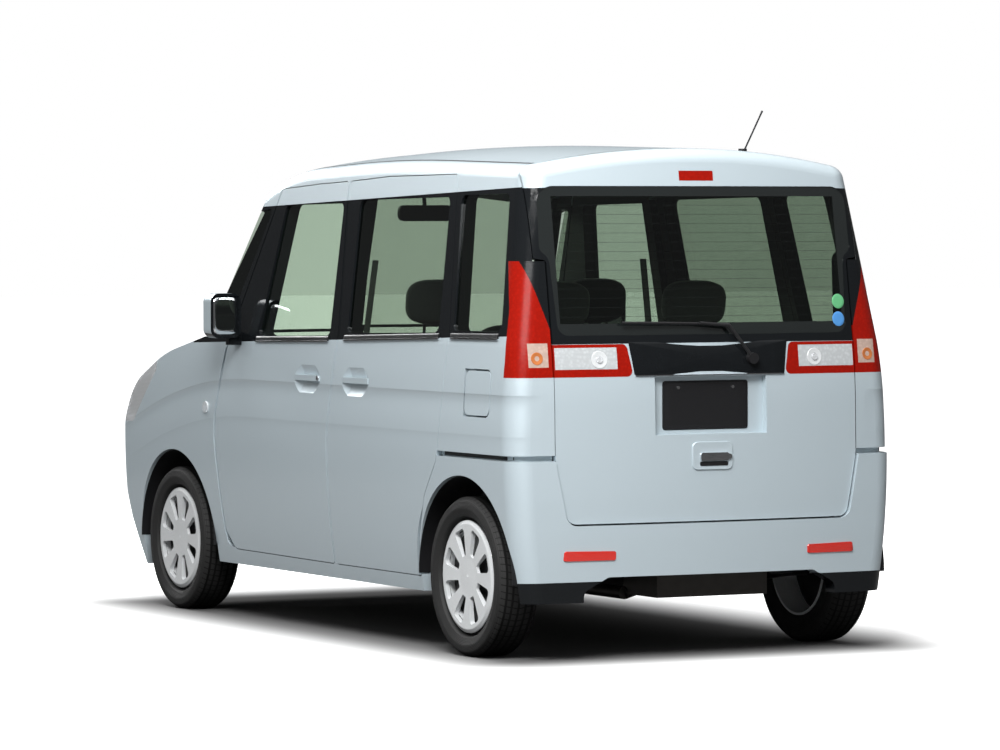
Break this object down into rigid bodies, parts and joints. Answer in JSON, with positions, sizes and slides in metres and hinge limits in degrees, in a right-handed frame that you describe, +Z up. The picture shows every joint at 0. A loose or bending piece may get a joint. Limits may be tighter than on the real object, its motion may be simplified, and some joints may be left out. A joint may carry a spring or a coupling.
{
  "type": "kei car",
  "caption": "Tall small family car with hinged front doors, sliding rear doors, lifting tailgate, opening bonnet and fuel flap, steered front wheels and free-turning wheels.",
  "frame": {"origin": "on the ground, under the middle of the car's length and width", "axes": "+X forward, +Y to the car's left, +Z up"},
  "size_m": [3.3948, 1.734, 1.844],
  "materials": {
    "body_paint": "gloss metallic",
    "windscreen_glass": "clear, slightly green",
    "privacy_glass": "dark tinted",
    "head_lamp": "clear",
    "tail_lamp": "gloss",
    "underbody": "satin",
    "chassis_steel": "satin",
    "engine_metal": "matt",
    "exhaust_steel": "dull",
    "dark_plastic": "satin",
    "interior_plastic": "matt",
    "seat_fabric": "woven",
    "tyre_rubber": "matt",
    "wheel_silver": "silver paint"
  },
  "bodies": {
    "root": {"antenna": "dark_plastic", "dashboard": "interior_plastic", "engine": "engine_metal", "exhaust": "exhaust_steel", "fenders": "body_paint", "floor_pan": "underbody", "front_bumper": "body_paint", "front_seats": "seat_fabric", "front_suspension": "chassis_steel", "front_wipers": "dark_plastic", "fuel_tank": "dark_plastic", "headlamps": "head_lamp", "rear_axle": "chassis_steel", "rear_bumper": "body_paint", "rear_seat": "seat_fabric", "roof_panel": "body_paint", "side_glass": "privacy_glass", "side_left": "body_paint", "side_right": "body_paint", "sliding_doors": "body_paint", "steering_wheel": "interior_plastic", "tail_lamps": "tail_lamp", "windscreen": "windscreen_glass"},
    "front_door_left": {"front_door_left": "body_paint", "front_door_glass_left": "windscreen_glass", "mirror_left": "dark_plastic"},
    "front_door_right": {"front_door_right": "body_paint", "front_door_glass_right": "windscreen_glass", "mirror_right": "dark_plastic"},
    "tailgate": {"tailgate": "body_paint", "tailgate_glass": "privacy_glass", "tailgate_lamps": "tail_lamp", "rear_wiper": "dark_plastic"},
    "bonnet": {"bonnet": "body_paint"},
    "fuel_flap": {"fuel_flap": "body_paint"},
    "knuckle_left": {"knuckle_left": "chassis_steel"},
    "knuckle_right": {"knuckle_right": "chassis_steel"},
    "wheel_front_left": {"tyre_front_left": "tyre_rubber", "wheel_front_left": "wheel_silver"},
    "wheel_front_right": {"tyre_front_right": "tyre_rubber", "wheel_front_right": "wheel_silver"},
    "wheel_rear_left": {"tyre_rear_left": "tyre_rubber", "wheel_rear_left": "wheel_silver"},
    "wheel_rear_right": {"tyre_rear_right": "tyre_rubber", "wheel_rear_right": "wheel_silver"}
  },
  "joints": [
    {"name": "front_door_left_hinge", "type": "hinge", "parent": "root", "child": "front_door_left", "pos_m": [0.7, 0.716, 0.65], "axis": [0, 0, -1], "range_deg": [0, 65]},
    {"name": "front_door_right_hinge", "type": "hinge", "parent": "root", "child": "front_door_right", "pos_m": [0.7, -0.716, 0.65], "axis": [0, 0, 1], "range_deg": [0, 65]},
    {"name": "tailgate_hinge", "type": "hinge", "parent": "root", "child": "tailgate", "pos_m": [-1.515, 0, 1.672], "axis": [0, 1, 0], "range_deg": [0, 75]},
    {"name": "bonnet_hinge", "type": "hinge", "parent": "root", "child": "bonnet", "pos_m": [1.15, 0, 0.984], "axis": [0, -1, 0], "range_deg": [0, 50]},
    {"name": "fuel_flap_hinge", "type": "hinge", "parent": "root", "child": "fuel_flap", "pos_m": [-1.302, 0.719, 0.8925], "axis": [0, 0, 1], "range_deg": [-80, 0]},
    {"name": "steer_left", "type": "hinge", "parent": "root", "child": "knuckle_left", "pos_m": [1.1625, 0.6, 0.27], "axis": [0, 0, 1], "range_deg": [-35, 35]},
    {"name": "steer_right", "type": "hinge", "parent": "root", "child": "knuckle_right", "pos_m": [1.1625, -0.6, 0.27], "axis": [0, 0, 1], "range_deg": [-35, 35]},
    {"name": "spin_front_left", "type": "hinge", "parent": "knuckle_left", "child": "wheel_front_left", "pos_m": [1.1625, 0.6475, 0.27], "axis": [0, 1, 0], "continuous": true},
    {"name": "spin_front_right", "type": "hinge", "parent": "knuckle_right", "child": "wheel_front_right", "pos_m": [1.1625, -0.6475, 0.27], "axis": [0, 1, 0], "continuous": true},
    {"name": "spin_rear_left", "type": "hinge", "parent": "root", "child": "wheel_rear_left", "pos_m": [-1.2625, 0.6475, 0.27], "axis": [0, 1, 0], "continuous": true},
    {"name": "spin_rear_right", "type": "hinge", "parent": "root", "child": "wheel_rear_right", "pos_m": [-1.2625, -0.6475, 0.27], "axis": [0, 1, 0], "continuous": true}
  ],
  "couplings": [
    {"joint": "steer_right", "follows": "steer_left", "ratio": 1}
  ]
}
